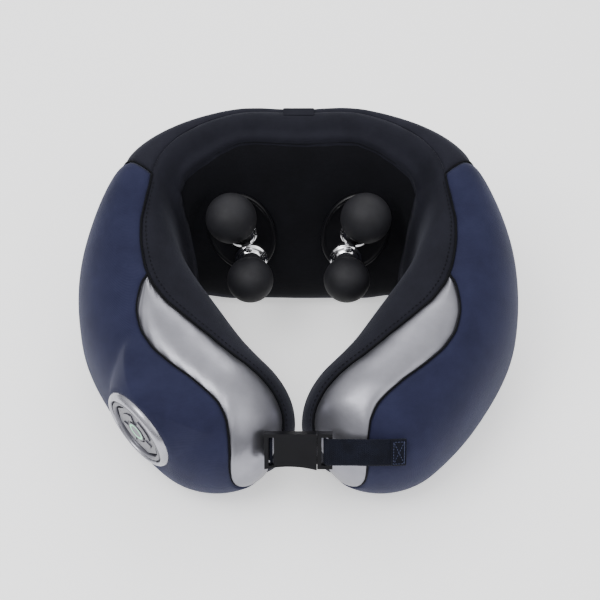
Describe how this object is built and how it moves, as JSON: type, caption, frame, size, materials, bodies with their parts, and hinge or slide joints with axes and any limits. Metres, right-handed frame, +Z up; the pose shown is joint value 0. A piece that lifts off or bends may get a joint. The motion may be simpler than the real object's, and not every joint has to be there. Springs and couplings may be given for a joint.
{
  "type": "shiatsu neck massager",
  "caption": "U-shaped foam neck massager with geared rotating ball heads in a lined pocket, a round control pod on one arm and a strap with a side-release buckle.",
  "frame": {"origin": "on the resting plane, under the middle of the object's box", "axes": "+X to the side with the right arm, -Y towards the buckle that closes the neck opening, +Z up; the massage heads face -Y"},
  "size_m": [0.3076, 0.261, 0.147],
  "materials": {
    "foam": "open-cell polyurethane foam",
    "black_fabric": "matte knitted polyester",
    "grey_fabric": "matte knitted polyester",
    "navy_fabric": "short-pile knitted velour",
    "silver_leatherette": "satin metallic coated fabric",
    "navy_webbing": "woven nylon webbing",
    "dark_silicone": "matte silicone",
    "black_plastic": "fine moulded texture",
    "chrome_trim": "polished",
    "gear_plastic": "moulded acetal",
    "shaft_steel": "turned steel",
    "brass_gear": "machined",
    "battery_wrap": "shrink wrap",
    "board_green": "coated circuit board",
    "heater_film": "polyimide film",
    "silver_plastic": "satin silver paint on plastic",
    "grey_plastic": "satin moulded plastic",
    "green_light": "light-diffusing plastic"
  },
  "bodies": {
    "collar": {"back_foam": "foam", "base_panel": "black_fabric", "battery_cells": "battery_wrap", "battery_tray": "black_plastic", "buckle_socket": "black_plastic", "charge_socket": "black_plastic", "control_board": "board_green", "gearbox_front": "black_plastic", "gearbox_rear": "black_plastic", "gearhead": "shaft_steel", "heating_film": "heater_film", "left_arm_foam": "foam", "left_arm_lining": "black_fabric", "left_outer_cover": "navy_fabric", "left_silver_panel": "silver_leatherette", "left_strap": "navy_webbing", "motor": "shaft_steel", "pocket_lining": "black_fabric", "pod_bezel": "silver_plastic", "pod_board": "board_green", "pod_cup": "black_plastic", "pod_face": "grey_plastic", "pod_inner_ring": "silver_plastic", "pod_screws": "shaft_steel", "rear_cover": "grey_fabric", "right_arm_foam": "foam", "right_arm_lining": "black_fabric", "right_outer_cover": "navy_fabric", "right_silver_panel": "silver_leatherette", "right_strap": "navy_webbing", "rim_band": "black_fabric", "shaft_bushes": "brass_gear", "top_label": "black_fabric"},
    "left_head": {"left_head_gear": "gear_plastic", "left_output_shaft": "shaft_steel", "left_head_carrier": "black_plastic", "left_hub_cap": "chrome_trim", "left_ball_posts": "black_plastic", "left_post_collar": "chrome_trim", "left_upper_ball": "dark_silicone", "left_lower_ball": "dark_silicone"},
    "right_head": {"right_head_gear": "gear_plastic", "right_output_shaft": "shaft_steel", "right_head_carrier": "black_plastic", "right_hub_cap": "chrome_trim", "right_ball_posts": "black_plastic", "right_post_collar": "chrome_trim", "right_upper_ball": "dark_silicone", "right_lower_ball": "dark_silicone"},
    "left_idler": {"left_idler_gear": "gear_plastic"},
    "right_idler": {"right_idler_gear": "gear_plastic"},
    "pinion": {"drive_pinion": "brass_gear", "motor_shaft": "shaft_steel"},
    "power_key": {"power_button": "grey_plastic", "power_light": "green_light"},
    "mode_key": {"mode_button": "grey_plastic"},
    "heat_key": {"heat_button": "grey_plastic"},
    "speed_key": {"speed_button": "grey_plastic"},
    "direction_key": {"direction_button": "grey_plastic"},
    "tongue": {"buckle_tongue": "black_plastic"}
  },
  "joints": [
    {"name": "left_head_spin", "type": "hinge", "parent": "collar", "child": "left_head", "pos_m": [-0.041, 0.07, 0.073], "axis": [0, -0.9409, 0.3387], "continuous": true},
    {"name": "right_head_spin", "type": "hinge", "parent": "collar", "child": "right_head", "pos_m": [0.041, 0.07, 0.073], "axis": [0, -0.9409, 0.3387], "continuous": true},
    {"name": "left_idler_spin", "type": "hinge", "parent": "collar", "child": "left_idler", "pos_m": [-0.011, 0.07, 0.073], "axis": [0, -0.9409, 0.3387], "continuous": true},
    {"name": "right_idler_spin", "type": "hinge", "parent": "collar", "child": "right_idler", "pos_m": [0.011, 0.07, 0.073], "axis": [0, -0.9409, 0.3387], "continuous": true},
    {"name": "pinion_spin", "type": "hinge", "parent": "collar", "child": "pinion", "pos_m": [-0.01621, 0.07601, 0.0897], "axis": [0, -0.9409, 0.3387], "continuous": true},
    {"name": "power_press", "type": "slide", "parent": "collar", "child": "power_key", "axis": [0.7299, 0.6799, 0.07], "range_m": [0, 0.0008], "stiffness_N_per_m": 600},
    {"name": "mode_press", "type": "slide", "parent": "collar", "child": "mode_key", "axis": [0.7299, 0.6799, 0.07], "range_m": [0, 0.0008], "stiffness_N_per_m": 600},
    {"name": "heat_press", "type": "slide", "parent": "collar", "child": "heat_key", "axis": [0.7299, 0.6799, 0.07], "range_m": [0, 0.0008], "stiffness_N_per_m": 600},
    {"name": "speed_press", "type": "slide", "parent": "collar", "child": "speed_key", "axis": [0.7299, 0.6799, 0.07], "range_m": [0, 0.0008], "stiffness_N_per_m": 600},
    {"name": "direction_press", "type": "slide", "parent": "collar", "child": "direction_key", "axis": [0.7299, 0.6799, 0.07], "range_m": [0, 0.0008], "stiffness_N_per_m": 600},
    {"name": "buckle_release", "type": "slide", "parent": "collar", "child": "tongue", "axis": [1, 0, 0], "range_m": [0, 0.01], "deforming": ["right_strap"]}
  ],
  "couplings": [
    {"joint": "right_head_spin", "follows": "left_head_spin", "ratio": -1},
    {"joint": "left_idler_spin", "follows": "left_head_spin", "ratio": -1.7273},
    {"joint": "right_idler_spin", "follows": "left_head_spin", "ratio": 1.7273},
    {"joint": "pinion_spin", "follows": "left_head_spin", "ratio": 2.5333}
  ]
}
